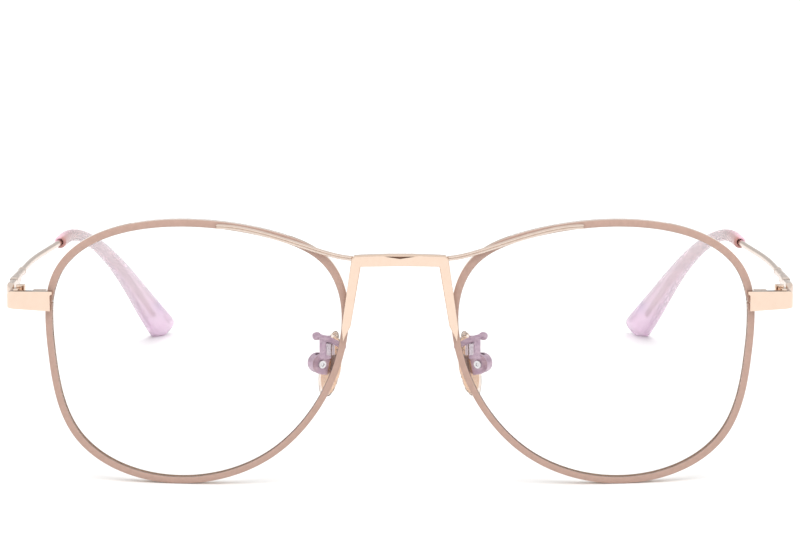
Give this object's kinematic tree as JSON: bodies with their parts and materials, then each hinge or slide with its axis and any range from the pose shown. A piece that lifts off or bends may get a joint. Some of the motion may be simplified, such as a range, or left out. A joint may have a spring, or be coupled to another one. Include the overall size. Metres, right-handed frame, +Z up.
{
  "type": "full-rim wire eyeglasses",
  "caption": "Full-rim wire eyeglasses with rounded panto lenses, a flat raised bridge, adjustable nose pads and folding temples with curved plastic tips.",
  "frame": {"origin": "centre of the bridge bar's flat front face", "axes": "+X towards the wearer's left, +Y back along the open temples to the ears, +Z up; the glasses stand on the rim bottoms and temple tips as on a table"},
  "size_m": [0.1446, 0.1435, 0.049],
  "materials": {
    "rim_enamel": "satin enamel on wire",
    "rose_gold": "polished rose-gold plate",
    "gold_wire": "polished pale-gold plate",
    "screw_steel": "polished",
    "plum_plate": "plum-tinted plate",
    "lens_clear": "clear, coated",
    "tip_plastic": "translucent pearly lilac",
    "pad_insert": "gold plate",
    "pad_silicone": "clear soft silicone"
  },
  "bodies": {
    "front": {"bridge": "rose_gold", "left_rim": "rim_enamel", "left_lens": "lens_clear", "left_brow_wire": "gold_wire", "left_lug": "rose_gold", "left_upper_lock_block": "rose_gold", "left_lower_lock_block": "rose_gold", "left_lock_screw": "screw_steel", "left_front_hinge_leaf": "rose_gold", "left_hinge_screw": "screw_steel", "left_pad_arm": "plum_plate", "left_pad_arm_barrel": "screw_steel", "left_pad_screw": "screw_steel", "right_rim": "rim_enamel", "right_lens": "lens_clear", "right_brow_wire": "gold_wire", "right_lug": "rose_gold", "right_upper_lock_block": "rose_gold", "right_lower_lock_block": "rose_gold", "right_lock_screw": "screw_steel", "right_front_hinge_leaf": "rose_gold", "right_hinge_screw": "screw_steel", "right_pad_arm": "plum_plate", "right_pad_arm_barrel": "screw_steel", "right_pad_screw": "screw_steel"},
    "left_temple_arm": {"left_temple": "gold_wire", "left_temple_tip": "tip_plastic", "left_temple_hinge_leaf": "rose_gold"},
    "left_pad": {"left_nose_pad": "pad_silicone", "left_pad_mount": "pad_insert"},
    "right_temple_arm": {"right_temple": "gold_wire", "right_temple_tip": "tip_plastic", "right_temple_hinge_leaf": "rose_gold"},
    "right_pad": {"right_nose_pad": "pad_silicone", "right_pad_mount": "pad_insert"}
  },
  "joints": [
    {"name": "left_temple_fold", "type": "hinge", "parent": "front", "child": "left_temple_arm", "pos_m": [0.0693, 0.0084, -0.0076], "axis": [0, 0, 1], "range_deg": [0, 82]},
    {"name": "right_temple_fold", "type": "hinge", "parent": "front", "child": "right_temple_arm", "pos_m": [-0.0693, 0.0084, -0.0076], "axis": [0, 0, -1], "range_deg": [0, 76]},
    {"name": "left_pad_rock", "type": "hinge", "parent": "front", "child": "left_pad", "pos_m": [0.0148, 0.0072, -0.0203], "axis": [0.4695, 0.8829, 0], "range_deg": [-8, 8]},
    {"name": "right_pad_rock", "type": "hinge", "parent": "front", "child": "right_pad", "pos_m": [-0.0148, 0.0072, -0.0203], "axis": [0.4695, -0.8829, 0], "range_deg": [-8, 8]}
  ]
}
